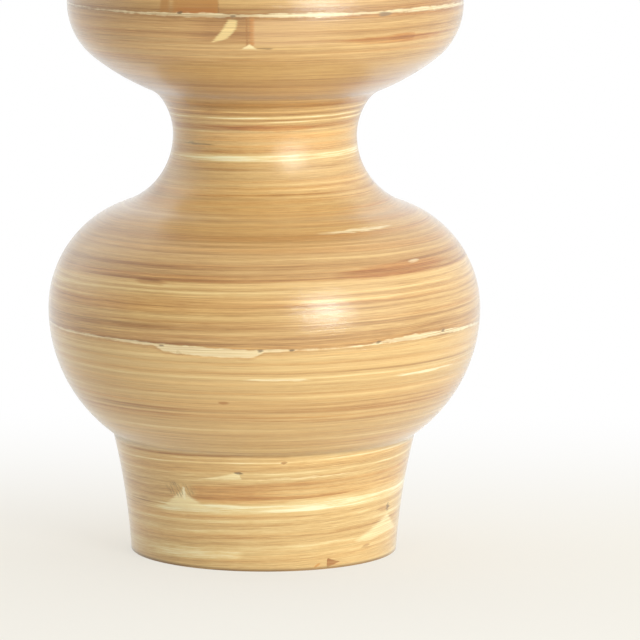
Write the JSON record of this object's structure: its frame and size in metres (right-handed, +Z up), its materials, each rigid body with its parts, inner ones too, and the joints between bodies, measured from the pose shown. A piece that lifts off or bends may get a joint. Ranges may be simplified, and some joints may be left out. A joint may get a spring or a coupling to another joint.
{
  "type": "bamboo vase",
  "caption": "Tall double gourd vase of wound bamboo strip, with a flared foot, two round bulbs, a narrow waist and a short rimmed neck.",
  "frame": {"origin": "centre of the foot's standing ring, on the axis and on the floor", "axes": "+Z up along the vase's axis; the pictured side faces -Y"},
  "size_m": [0.2234, 0.2234, 0.3721],
  "materials": {
    "bamboo": "clear satin lacquer over wound and sanded bamboo strip",
    "joint_filler": "pale glue and bamboo dust, sanded flush under the same lacquer"
  },
  "bodies": {
    "root": {"base_eye": "bamboo", "base_coil_1": "bamboo", "base_coil_2": "bamboo", "base_coil_3": "bamboo", "foot_strip_1": "bamboo", "foot_strip_2": "bamboo", "foot_strip_3": "bamboo", "foot_strip_4": "bamboo", "lower_bowl_strip_1": "bamboo", "lower_bowl_strip_2": "bamboo", "lower_bowl_strip_3": "bamboo", "lower_bowl_strip_4": "bamboo", "lower_bowl_strip_5": "bamboo", "lower_joint": "joint_filler", "lower_shoulder_strip_1": "bamboo", "lower_shoulder_strip_2": "bamboo", "lower_shoulder_strip_3": "bamboo", "lower_shoulder_strip_4": "bamboo", "lower_shoulder_strip_5": "bamboo", "lower_shoulder_strip_6": "bamboo", "waist_strip_1": "bamboo", "waist_strip_2": "bamboo", "waist_strip_3": "bamboo", "upper_bowl_strip_1": "bamboo", "upper_bowl_strip_2": "bamboo", "upper_bowl_strip_3": "bamboo", "upper_bowl_strip_4": "bamboo", "upper_bowl_strip_5": "bamboo", "upper_joint": "joint_filler", "upper_shoulder_strip_1": "bamboo", "upper_shoulder_strip_2": "bamboo", "upper_shoulder_strip_3": "bamboo", "upper_shoulder_strip_4": "bamboo", "upper_shoulder_strip_5": "bamboo", "neck_strip_1": "bamboo", "neck_strip_2": "bamboo", "mouth_rim": "bamboo"}
  },
  "joints": []
}
